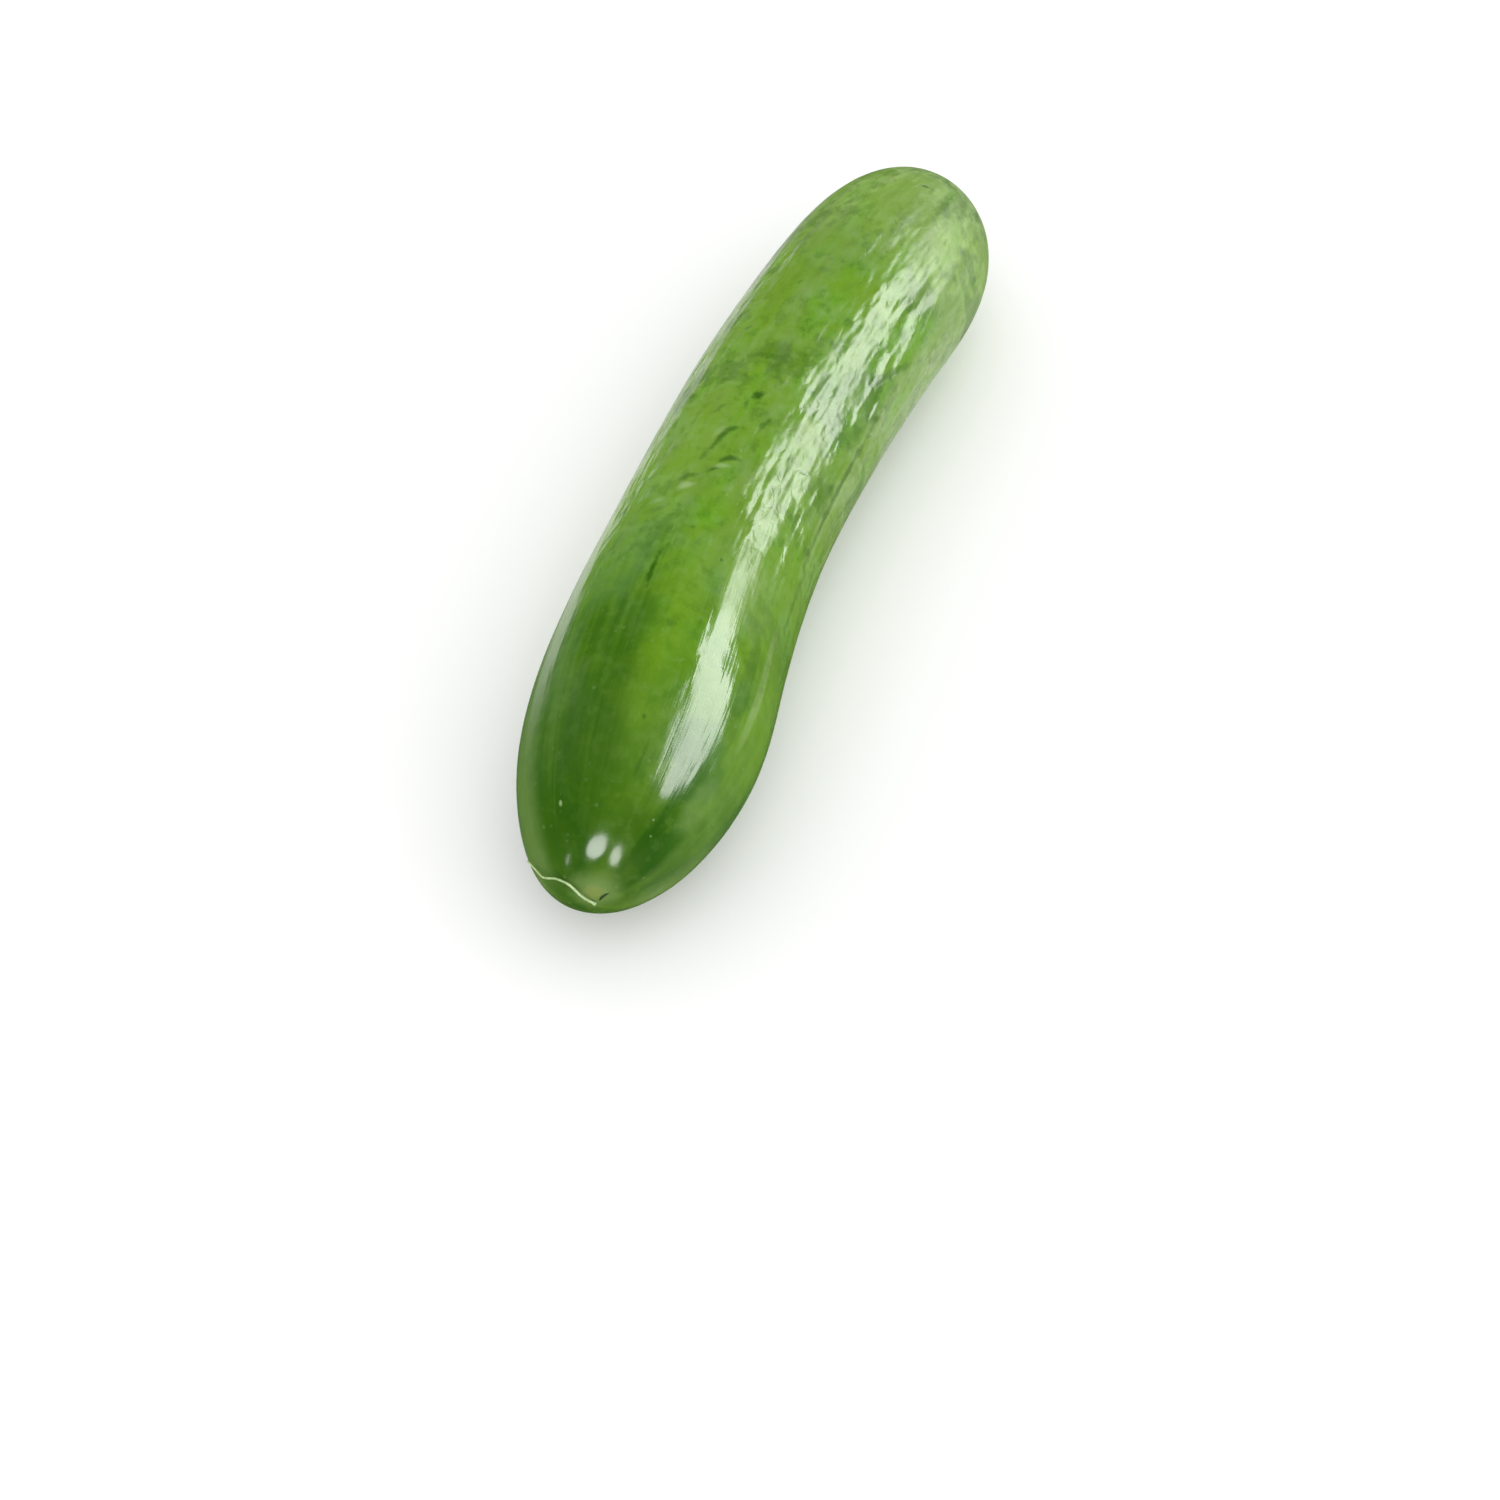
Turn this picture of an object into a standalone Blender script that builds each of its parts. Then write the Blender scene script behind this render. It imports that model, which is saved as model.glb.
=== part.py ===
"""A mini cucumber lying on its side, with the dried thread of its flower on the blossom end.

The fruit lies along X. Its blossom end is towards -X and its stem end towards +X, and the surface
that it rests on is z = 0. The origin is the bottom centre of its bounding box. All sizes are in metres.
"""

import math
from bisect import bisect_right

import bmesh
import bpy
from mathutils import Matrix, Vector

# Driving dimensions
SPINE_LENGTH = 0.1610  # along the bent middle line, tip to tip
BLOSSOM_RADIUS = 0.0204  # the thick half, behind the blossom end
STEM_RADIUS = 0.0178  # the slimmer half, towards the stem end
TAPER_FROM, TAPER_TO = 0.11, 0.51  # shares of the length between which it slims down

BEND = math.radians(31)  # how far the middle line turns in all, sideways along the table
TIP_REACH = 0.040  # the last stretch at the blossom end, which turns back to +Y and down
TIP_SIDEWAYS, TIP_DOWN = 0.0038, 0.0022

LOBE = 0.008  # three broad, faint lobes, as a share of the radius
REST_FLAT = 0.00028  # how far the underside is flattened where the fruit rests

# Each end is rounded as a superellipse. Fullness 2 is an ellipse, and more is blunter.
BLOSSOM_END = {"length": 0.0435, "fullness": 2.1}
STEM_END = {"length": 0.0270, "fullness": 2.3}
STEM_SCAR_RADIUS, STEM_SCAR_DEPTH = 0.0046, 0.0010

THREAD_RADIUS = 0.00022
THREAD_THINNING = 0.45  # how much of its radius the thread loses by its free end
THREAD_GAP = 0.00034  # between the thread and the skin that it lies along

# Mesh density
SIDES = 48
END_RINGS = 16
BODY_RINGS = 24
SPINE_STEPS = 400
TIP_CROWDING = 1.2  # over 1 draws the rings together at the tips
THREAD_STEPS = 5  # between two of the thread's own points
SAME_POINT = 1e-7  # the cut under the fruit takes points this close to it as lying on it
SHORT_STEP = 1e-5

# The thread's way over the blossom end: distance from the tip towards +Y, distance up, and how far it
# stands off the skin there, over its gap
THREAD_WAY = (
    (-0.0012, 0.0003, 0.0000),
    (0.0006, 0.0023, 0.0001),
    (0.0027, 0.0039, 0.0000),
    (0.0050, 0.0041, 0.0001),
    (0.0073, 0.0026, 0.0001),
    (0.0087, 0.0023, 0.0000),
    (0.0105, 0.0020, 0.0002),
)


def smooth_step(low, high, value):
    t = min(max((value - low) / (high - low), 0.0), 1.0)
    return t * t * (3 - 2 * t)


def body_radius(along):
    """The radius before the ends are rounded off."""
    slim = smooth_step(TAPER_FROM, TAPER_TO, along / SPINE_LENGTH)
    return BLOSSOM_RADIUS + (STEM_RADIUS - BLOSSOM_RADIUS) * slim


def heading(along):
    """The direction of the middle line in the XY plane. It turns towards -Y on its way to the stem end."""
    return BEND * (0.5 - along / SPINE_LENGTH)


def spine_table():
    """Places along the middle line and the points there, at z = 0, by adding up short steps."""
    step = SPINE_LENGTH / SPINE_STEPS
    places, points = [0.0], [Vector()]
    for i in range(SPINE_STEPS):
        turn = heading((i + 0.5) * step)
        points.append(points[-1] + Vector((math.cos(turn), math.sin(turn), 0)) * step)
        places.append((i + 1) * step)
    return places, points


SPINE_PLACES, SPINE_POINTS = spine_table()


def spine_point(along):
    """The middle line's point there, at the height that lays the underside on the table."""
    i = min(max(bisect_right(SPINE_PLACES, along) - 1, 0), SPINE_STEPS - 1)
    share = (along - SPINE_PLACES[i]) / (SPINE_PLACES[i + 1] - SPINE_PLACES[i])
    point = SPINE_POINTS[i].lerp(SPINE_POINTS[i + 1], share)
    turned = max(1 - along / TIP_REACH, 0.0) ** 2
    point.y += TIP_SIDEWAYS * turned
    point.z = body_radius(along) * (1 - LOBE) - REST_FLAT - TIP_DOWN * turned
    return point


def place(along, around, radius):
    """A point at that angle round the middle line. 0 is towards +Y and 90 degrees is up."""
    turn = heading(along)
    sideways = Vector((-math.sin(turn), math.cos(turn), 0))
    outwards = sideways * math.cos(around) + Vector((0, 0, 1)) * math.sin(around)
    lobed = radius * (1 - LOBE * math.sin(3 * around))
    return spine_point(along) + outwards * lobed


def end_rings(end):
    """(distance from the tip, share of the body's radius) for each ring of a rounded end, tip first."""
    rings = []
    for i in range(1, END_RINGS + 1):
        angle = math.pi / 2 * (i / END_RINGS) ** TIP_CROWDING
        share = math.sin(angle) ** (2 / end["fullness"])
        rings.append((end["length"] * (1 - math.cos(angle) ** (2 / end["fullness"])), share))
    return rings


def scar_dip(radius):
    """How far the skin dips in at that distance from the middle of the stem scar."""
    return STEM_SCAR_DEPTH * max(1 - (radius / STEM_SCAR_RADIUS) ** 2, 0.0) ** 0.5


def outline():
    """(place along the middle line, radius) of every ring from the blossom end to the stem end."""
    blossom = [(d, share * body_radius(d)) for d, share in end_rings(BLOSSOM_END)]
    stem = [(SPINE_LENGTH - d, share * STEM_RADIUS) for d, share in reversed(end_rings(STEM_END))]
    stem = [(along - scar_dip(radius), radius) for along, radius in stem]
    first, last = blossom[-1][0], stem[0][0]
    gap = (last - first) / (BODY_RINGS + 1)
    body = [first + gap * (i + 1) for i in range(BODY_RINGS)]
    return blossom + [(along, body_radius(along)) for along in body] + stem


def tip_depth(radius):
    """How far behind the tip the skin of the blossom end has that radius."""
    power = BLOSSOM_END["fullness"]
    inside = (1 - (radius / BLOSSOM_RADIUS) ** power) ** (1 / power)
    return BLOSSOM_END["length"] * (1 - inside)


def add_ring(bm, along, radius):
    return [bm.verts.new(place(along, 2 * math.pi * i / SIDES, radius)) for i in range(SIDES)]


def close_end(bm, ring, middle):
    """A fan of triangles from the ring to one point in the middle of the scar."""
    tip = bm.verts.new(middle)
    for i in range(SIDES):
        bm.faces.new((ring[i], ring[(i + 1) % SIDES], tip))


def flatten_underside(bm):
    """Cuts the skin at the table's height and fills the cut with one flat face."""
    everything = bm.verts[:] + bm.edges[:] + bm.faces[:]
    bmesh.ops.bisect_plane(
        bm, geom=everything, dist=SAME_POINT, plane_co=(0, 0, 0), plane_no=(0, 0, -1), clear_outer=True
    )
    for face in bm.faces:
        face.smooth = True
    rim = [edge for edge in bm.edges if edge.is_boundary]
    for edge in rim:
        edge.smooth = False
    bmesh.ops.contextual_create(bm, geom=rim)


def fruit_mesh():
    bm = bmesh.new()
    rings = [add_ring(bm, along, radius) for along, radius in outline()]
    for near, far in zip(rings, rings[1:]):
        for i in range(SIDES):
            j = (i + 1) % SIDES
            bm.faces.new((near[i], far[i], far[j], near[j]))
    close_end(bm, rings[0], spine_point(0))
    close_end(bm, rings[-1], spine_point(SPINE_LENGTH - STEM_SCAR_DEPTH))
    flatten_underside(bm)
    bmesh.ops.recalc_face_normals(bm, faces=bm.faces)
    mesh = bpy.data.meshes.new("cucumber_fruit")
    bm.to_mesh(mesh)
    bm.free()
    return mesh


def eased(before, start, end, after, t):
    """One value between start and end, on a smooth curve that also heeds its two neighbours."""
    slope_in, slope_out = (end - before) / 2, (after - start) / 2
    rise = end - start
    return (
        start
        + slope_in * t
        + (3 * rise - 2 * slope_in - slope_out) * t * t
        + (slope_in + slope_out - 2 * rise) * t**3
    )


def thread_points():
    """(point, radius) along the dried thread. It thins towards its free end."""
    way = THREAD_WAY
    last = len(way) - 1
    found = []
    for step in range(last * THREAD_STEPS + 1):
        i = min(step // THREAD_STEPS, last - 1)
        t = step / THREAD_STEPS - i
        four = [way[min(max(k, 0), last)] for k in (i - 1, i, i + 1, i + 2)]
        across, up, lift = (eased(*values, t) for values in zip(*four))
        radius, around = math.hypot(across, up), math.atan2(up, across)
        # It stands off the skin along the skin's own normal, which slopes back from the tip.
        slope = math.atan2(tip_depth(radius + SHORT_STEP) - tip_depth(radius), SHORT_STEP)
        clear = THREAD_GAP + THREAD_RADIUS + lift
        depth = tip_depth(radius) - clear * math.cos(slope)
        point = place(depth, around, radius + clear * math.sin(slope))
        found.append((point, 1 - THREAD_THINNING * step / (last * THREAD_STEPS)))
    return found


def thread_curve():
    curve = bpy.data.curves.new("flower_thread", "CURVE")
    curve.dimensions = "3D"
    curve.bevel_depth = THREAD_RADIUS
    curve.bevel_resolution = 2
    curve.use_fill_caps = True
    spline = curve.splines.new("POLY")
    points = thread_points()
    spline.points.add(len(points) - 1)
    for target, (place_of_it, thickness) in zip(spline.points, points):
        target.co = (*place_of_it, 1)
        target.radius = thickness
    return curve


def material(name, colour, roughness):
    made = bpy.data.materials.new(name)
    made.use_nodes = True
    surface = made.node_tree.nodes["Principled BSDF"]
    surface.inputs["Base Color"].default_value = (*colour, 1)
    surface.inputs["Roughness"].default_value = roughness
    surface.inputs["Metallic"].default_value = 0
    return made


def main():
    for old in list(bpy.data.objects):
        bpy.data.objects.remove(old)
    skin = material("cucumber_skin", (0.10, 0.24, 0.03), 0.35)
    straw = material("dry_straw", (0.62, 0.66, 0.34), 0.6)
    fruit = bpy.data.objects.new("cucumber_fruit", fruit_mesh())
    thread = bpy.data.objects.new("flower_thread", thread_curve())
    for obj, finish in ((fruit, skin), (thread, straw)):
        obj.data.materials.append(finish)
        bpy.context.scene.collection.objects.link(obj)
    # The origin moves to the bottom centre of the box round both.
    bpy.context.view_layer.update()
    corners = [corner for obj in (fruit, thread) for corner in obj.bound_box]
    middle = [(min(c[axis] for c in corners) + max(c[axis] for c in corners)) / 2 for axis in (0, 1)]
    shift = Matrix.Translation((-middle[0], -middle[1], 0))
    fruit.data.transform(shift)
    thread.data.transform(shift)


main()
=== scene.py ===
import math

import bpy
import numpy as np
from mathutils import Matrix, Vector


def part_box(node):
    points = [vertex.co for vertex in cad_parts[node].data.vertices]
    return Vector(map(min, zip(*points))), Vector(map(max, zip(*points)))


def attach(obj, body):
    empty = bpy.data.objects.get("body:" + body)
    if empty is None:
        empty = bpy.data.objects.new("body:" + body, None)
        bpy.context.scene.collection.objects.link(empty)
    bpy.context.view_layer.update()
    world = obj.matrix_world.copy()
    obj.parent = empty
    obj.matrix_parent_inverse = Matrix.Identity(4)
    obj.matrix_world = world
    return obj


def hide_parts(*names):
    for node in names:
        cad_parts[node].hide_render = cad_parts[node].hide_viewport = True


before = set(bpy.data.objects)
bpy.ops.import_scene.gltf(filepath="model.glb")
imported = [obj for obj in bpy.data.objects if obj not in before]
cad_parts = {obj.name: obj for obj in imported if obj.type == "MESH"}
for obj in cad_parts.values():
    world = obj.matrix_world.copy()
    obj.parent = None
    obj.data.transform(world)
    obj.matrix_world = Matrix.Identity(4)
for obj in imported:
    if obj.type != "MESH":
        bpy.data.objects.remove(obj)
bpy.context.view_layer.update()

mm = 0.001


# small helpers that every piece uses

def startPiece():
    # the loaded nodes come in selected, so nothing is selected before a new primitive is added
    bpy.ops.object.select_all(action="DESELECT")


def editMode(piece):
    bpy.ops.object.select_all(action="DESELECT")
    piece.select_set(True)
    bpy.context.view_layer.objects.active = piece
    bpy.ops.object.mode_set(mode="EDIT")


def objectMode():
    bpy.ops.object.mode_set(mode="OBJECT")


def applyModifier(piece, kind, **values):
    bpy.context.view_layer.objects.active = piece
    modifier = piece.modifiers.new(kind.lower(), kind)
    for name, value in values.items():
        setattr(modifier, name, value)
    bpy.ops.object.modifier_apply(modifier=modifier.name)


def smoothStep(low, high, value):
    t = np.clip((value - low) / (high - low), 0, 1)
    return t * t * (3 - 2 * t)


def coordinates(piece):
    flat = np.zeros(len(piece.data.vertices) * 3, np.float32)
    piece.data.vertices.foreach_get("co", flat)
    return flat.reshape(-1, 3).astype(float)


def setCoordinates(piece, points):
    piece.data.vertices.foreach_set("co", points.astype(np.float32).ravel())
    piece.data.update()


# the fruit's own shape, straight first and then laid down along its bend

fruit = {
    "length": 161.0 * mm,
    "blossomRadius": 20.4 * mm,
    "stemRadius": 17.8 * mm,
    "taper": (0.11, 0.51),  # shares of the length between which it slims down
    "blossomEnd": (43.5 * mm, 2.1),  # how long the rounded end is, and how full
    "stemEnd": (27.0 * mm, 2.3),
    "bend": math.radians(31),
    "tipReach": 40 * mm,  # the blossom tip turns aside and down over this stretch
    "tipShift": (3.8 * mm, -2.2 * mm),
    "lobe": 0.008,  # three faint lobes, as a share of the radius
    "restFlat": 0.28 * mm,
    "scarRadius": 4.6 * mm,
    "scarRim": (0.35 * mm, 0.25 * mm),  # how wide and how high it stands
    "scarWall": (0.55 * mm, 1.0 * mm),  # how wide, and how deep the scar is
    "profileSteps": 84,
    "sides": 64,
    "boxSteps": (500, 145),  # lengthwise and around, where only its box is measured
    "outlineSteps": 4000,  # where only its outline's length is measured
    "merge": 0.01 * mm,  # doubles this close are one point
}

# soft lumps: their size along and across the fruit, their height, where they are, and the pattern's offset
lumps = {
    "swell": (42 * mm, 24 * mm, 0.55 * mm, "allOver", 0),
    "ridge": (34 * mm, 5.5 * mm, 0.17 * mm, "allOver", 0.1),
    "pucker": (4.2 * mm, 3.2 * mm, 0.09 * mm, "stemHalf", 0.2),
}

# dents pressed in by hand: place along, angle round (90 is up), reach and depth
dents = (
    (48.5 * mm, 79, 2.2 * mm, 0.22 * mm),
    (51.5 * mm, 78, 2.4 * mm, 0.26 * mm),
    (54.5 * mm, 77, 2.0 * mm, 0.20 * mm),
    (72.5 * mm, 76, 2.6 * mm, 0.22 * mm),
    (77.0 * mm, 96, 3.0 * mm, 0.26 * mm),
    (80.5 * mm, 99, 2.2 * mm, 0.20 * mm),
    (91.3 * mm, 92, 1.8 * mm, 0.16 * mm),
    (149.5 * mm, 96, 1.8 * mm, 0.22 * mm),
    (104.0 * mm, 150, 3.4 * mm, 0.24 * mm),
    (96.0 * mm, 148, 3.0 * mm, 0.20 * mm),
    (66.0 * mm, 230, 4.0 * mm, 0.30 * mm),
    (118.0 * mm, 345, 4.0 * mm, 0.30 * mm),
)


def bodyRadius(along):
    slim = smoothStep(*fruit["taper"], along / fruit["length"])
    return fruit["blossomRadius"] + (fruit["stemRadius"] - fruit["blossomRadius"]) * slim


def roundedShare(distance, end):
    reach, fullness = end
    inside = np.clip(1 - distance / reach, 0, 1)
    return (1 - inside**fullness) ** (1 / fullness)


def skinRadius(along):
    blossom = roundedShare(along, fruit["blossomEnd"])
    stem = roundedShare(fruit["length"] - along, fruit["stemEnd"])
    return bodyRadius(along) * blossom * stem


def layDown(points):
    # from the straight fruit on the X axis to the bent one that rests on the floor
    along, across, up = points.T
    clipped = np.clip(along, 0, fruit["length"])
    turn = fruit["bend"] * (0.5 - clipped / fruit["length"])
    bendRadius = fruit["length"] / fruit["bend"]
    middleX = bendRadius * (math.sin(fruit["bend"] / 2) - np.sin(turn))
    middleY = bendRadius * (np.cos(turn) - math.cos(fruit["bend"] / 2))
    around = np.arctan2(up, across)
    lobed = 1 - fruit["lobe"] * np.sin(3 * around)
    aside, height = across * lobed, up * lobed
    turned = np.clip(1 - clipped / fruit["tipReach"], 0, 1) ** 2
    past = along - clipped  # a point in front of the tip keeps its distance
    x = middleX - np.sin(turn) * aside + np.cos(turn) * past
    y = middleY + np.cos(turn) * aside + np.sin(turn) * past + fruit["tipShift"][0] * turned
    lie = bodyRadius(clipped) * (1 - fruit["lobe"]) - fruit["restFlat"]
    z = lie + height + fruit["tipShift"][1] * turned
    return np.stack([x, y, z], 1)


def straightPoint(along, around, radius):
    return (along, radius * math.cos(around), radius * math.sin(around))


def findFrameShift():
    # the straight fruit's zero is its blossom tip, and the solid's box says where that is in the frame
    low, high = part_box("cucumber_fruit")
    lengthwise, around = fruit["boxSteps"]
    rings = np.linspace(0, fruit["length"], lengthwise)
    turns = np.linspace(0, 2 * math.pi, around)
    outside = [straightPoint(a, turn, r) for a, r in zip(rings, skinRadius(rings)) for turn in turns]
    laid = layDown(np.array(outside))
    middle = (laid.min(0) + laid.max(0)) / 2
    return np.array([(low.x + high.x) / 2 - middle[0], (low.y + high.y) / 2 - middle[1], 0])


frameShift = findFrameShift()


def skinPoint(along, aroundDegrees, outwards=0):
    # a point of the finished fruit's skin, or that far outside it
    straight = straightPoint(along, math.radians(aroundDegrees), float(skinRadius(along)) + outwards)
    return Vector(layDown(np.array([straight]))[0] + frameShift)


def fruitOutline():
    # points along half of the lengthwise section, evenly spaced on the curve
    turn = np.linspace(0, math.pi, fruit["outlineSteps"])
    along = fruit["length"] * (1 - np.cos(turn)) / 2
    radius = skinRadius(along)
    travelled = np.concatenate([[0], np.cumsum(np.hypot(np.diff(along), np.diff(radius)))])
    even = np.linspace(0, travelled[-1], fruit["profileSteps"] + 1)
    return np.stack([np.interp(even, travelled, along), np.interp(even, travelled, radius)], 1)


def spinFruit():
    startPiece()
    bpy.ops.mesh.primitive_plane_add(size=2 * mm, location=(0, 0, 0))
    piece = bpy.context.object
    piece.name = piece.data.name = "fruitSkin"
    editMode(piece)
    bpy.ops.mesh.select_all(action="SELECT")
    bpy.ops.mesh.merge(type="CENTER")  # one point, at the blossom tip
    outline = fruitOutline()
    for ahead, out in np.diff(outline, axis=0):
        bpy.ops.mesh.extrude_region_move(TRANSFORM_OT_translate={"value": (ahead, out, 0)})
    bpy.ops.mesh.select_all(action="SELECT")
    bpy.ops.mesh.spin(steps=fruit["sides"], angle=2 * math.pi, center=(0, 0, 0), axis=(1, 0, 0))
    bpy.ops.mesh.select_all(action="SELECT")
    bpy.ops.mesh.remove_doubles(threshold=fruit["merge"])
    bpy.ops.mesh.normals_make_consistent(inside=False)
    objectMode()
    return piece


def selectFaces(piece, test):
    piece.data.polygons.foreach_set("select", [test(face.center) for face in piece.data.polygons])
    piece.data.update()


def pressStemScar(piece):
    rimWidth, rimHeight = fruit["scarRim"]
    wallWidth, depth = fruit["scarWall"]
    editMode(piece)
    bpy.ops.mesh.select_mode(type="FACE")
    bpy.ops.mesh.select_all(action="DESELECT")
    objectMode()
    selectFaces(piece, lambda c: c.x > fruit["length"] / 2 and math.hypot(c.y, c.z) < fruit["scarRadius"])
    editMode(piece)
    bpy.ops.mesh.inset(thickness=rimWidth, depth=rimHeight)  # the rim stands up a little
    bpy.ops.mesh.inset(thickness=wallWidth, depth=-depth)
    bpy.ops.mesh.select_mode(type="VERT")
    bpy.ops.mesh.select_all(action="DESELECT")
    objectMode()


def addLumps(piece):
    along = coordinates(piece)[:, 0] / fruit["length"]
    shares = {
        "allOver": smoothStep(0.0, 0.09, along) * smoothStep(1.0, 0.93, along),  # but for both tips
        "stemHalf": smoothStep(0.24, 0.46, along) * smoothStep(0.97, 0.86, along),
    }
    for name, weights in shares.items():
        group = piece.vertex_groups.new(name=name)
        for index, weight in enumerate(weights):
            group.add([index], float(weight), "REPLACE")
    for name, (lengthwise, across, height, where, offset) in lumps.items():
        texture = bpy.data.textures.new(name, "CLOUDS")
        texture.noise_scale = 1
        texture.noise_depth = 1
        stretch = bpy.data.objects.new(name, None)
        bpy.context.scene.collection.objects.link(stretch)
        stretch.scale = (lengthwise, across, across)
        stretch.location = (0, 0, offset)
        bpy.context.view_layer.update()
        applyModifier(
            piece, "DISPLACE", texture=texture, texture_coords="OBJECT", texture_coords_object=stretch,
            strength=height, mid_level=0.5, vertex_group=where,
        )
        bpy.data.objects.remove(stretch)
        bpy.data.textures.remove(texture)
    piece.vertex_groups.clear()


def pressDents(piece):
    for along, around, reach, depth in dents:
        angle = math.radians(around)
        target = np.array(straightPoint(along, angle, float(skinRadius(along))))
        nearest = int(np.argmin(((coordinates(piece) - target) ** 2).sum(1)))
        piece.data.vertices[nearest].select = True
        editMode(piece)
        bpy.ops.transform.translate(
            value=(0, -depth * math.cos(angle), -depth * math.sin(angle)),
            use_proportional_edit=True, proportional_edit_falloff="SMOOTH", proportional_size=reach,
        )
        bpy.ops.mesh.select_all(action="DESELECT")
        objectMode()


def keepGrain(piece, points):
    # share of the length, and the direction outwards: patterns follow the skin and close up at both tips
    around = np.arctan2(points[:, 2], points[:, 1])
    share = np.clip(points[:, 0] / fruit["length"], 0, 1)
    grain = np.stack([share, np.cos(around), np.sin(around)], 1)
    kept = piece.data.attributes.new("grain", "FLOAT_VECTOR", "POINT")
    kept.data.foreach_set("vector", grain.astype(np.float32).ravel())


def makeFruit():
    piece = spinFruit()
    pressStemScar(piece)
    applyModifier(piece, "SUBSURF", levels=1, render_levels=1)
    pressDents(piece)
    applyModifier(piece, "SUBSURF", levels=1, render_levels=1)
    addLumps(piece)
    straight = coordinates(piece)
    keepGrain(piece, straight)
    laid = layDown(straight) + frameShift
    laid[:, 2] = np.maximum(laid[:, 2], 0)  # it rests on a narrow flat
    setCoordinates(piece, laid)
    startPiece()
    piece.select_set(True)
    bpy.context.view_layer.objects.active = piece
    bpy.ops.object.shade_smooth()
    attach(piece, "root")
    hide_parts("cucumber_fruit")
    return piece


# the dried thread of the flower

thread = {
    "radius": 0.24 * mm,
    "thinning": 0.45,
    "gap": 0.30 * mm,
    # over the blossom end: distance from the tip towards +Y, distance up, and how far it stands off
    "way": (
        (-1.2 * mm, 0.3 * mm, -0.35 * mm),
        (0.6 * mm, 2.3 * mm, 0.05 * mm),
        (2.7 * mm, 3.9 * mm, -0.1 * mm),
        (5.0 * mm, 4.1 * mm, 0.1 * mm),
        (7.3 * mm, 2.6 * mm, 0.1 * mm),
        (8.7 * mm, 2.3 * mm, 0.0 * mm),
        (10.5 * mm, 2.0 * mm, 0.2 * mm),
    ),
    "stepsBetween": 10,
    "uneven": (0.82, 1.12),  # its thickness varies between these shares
    "flare": (0.5, 0.06),  # it widens by this share where it grows out of the scar, over this share of it
    "twist": 9,  # radians over its whole length
    "slopeStep": 0.01 * mm,  # to a second point of the skin, for its slope
    "merge": 0.002 * mm,
}


def easedBetween(before, start, end, after, t):
    into, outOf, rise = (end - before) / 2, (after - start) / 2, end - start
    return start + into * t + (3 * rise - 2 * into - outOf) * t * t + (into + outOf - 2 * rise) * t**3


def tipDepth(radius):
    # how far behind the tip the skin of the blossom end has that radius
    reach, fullness = fruit["blossomEnd"]
    share = min(radius / fruit["blossomRadius"], 1)
    return reach * (1 - (1 - share**fullness) ** (1 / fullness))


def threadPoints():
    way = np.array(thread["way"])
    last = len(way) - 1
    step = thread["slopeStep"]
    straight = []
    for count in range(last * thread["stepsBetween"] + 1):
        i = min(count // thread["stepsBetween"], last - 1)
        four = [way[min(max(k, 0), last)] for k in (i - 1, i, i + 1, i + 2)]
        across, up, lift = easedBetween(*four, count / thread["stepsBetween"] - i)
        radius, around = math.hypot(across, up), math.atan2(up, across)
        slope = math.atan2(tipDepth(radius + step) - tipDepth(radius), step)
        clear = thread["gap"] + thread["radius"] + lift
        ahead = tipDepth(radius) - clear * math.cos(slope)
        straight.append(straightPoint(ahead, around, radius + clear * math.sin(slope)))
    return layDown(np.array(straight)) + frameShift


def makeThread():
    points = threadPoints()
    line = bpy.data.curves.new("driedStyle", "CURVE")
    line.dimensions = "3D"
    line.bevel_depth = thread["radius"]
    line.bevel_resolution = 3
    line.use_fill_caps = True
    spline = line.splines.new("POLY")
    spline.points.add(len(points) - 1)
    swings = np.random.default_rng(4).uniform(*thread["uneven"], len(points))
    wider, over = thread["flare"]
    for i, point in enumerate(points):
        share = i / (len(points) - 1)
        flare = 1 + wider * max(1 - share / over, 0)
        spline.points[i].co = (*point, 1)
        spline.points[i].radius = (1 - thread["thinning"] * share) * flare * swings[i]
        spline.points[i].tilt = share * thread["twist"]
    startPiece()
    piece = bpy.data.objects.new("driedStyle", line)
    bpy.context.scene.collection.objects.link(piece)
    piece.select_set(True)
    bpy.context.view_layer.objects.active = piece
    bpy.ops.object.convert(target="MESH")
    piece = bpy.context.object
    editMode(piece)
    bpy.ops.mesh.select_all(action="SELECT")
    bpy.ops.mesh.remove_doubles(threshold=thread["merge"])
    bpy.ops.mesh.normals_make_consistent(inside=False)
    objectMode()
    applyModifier(piece, "SUBSURF", levels=1, render_levels=1)
    bpy.ops.object.shade_smooth()
    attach(piece, "root")
    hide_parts("flower_thread")
    return piece


# materials

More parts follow.
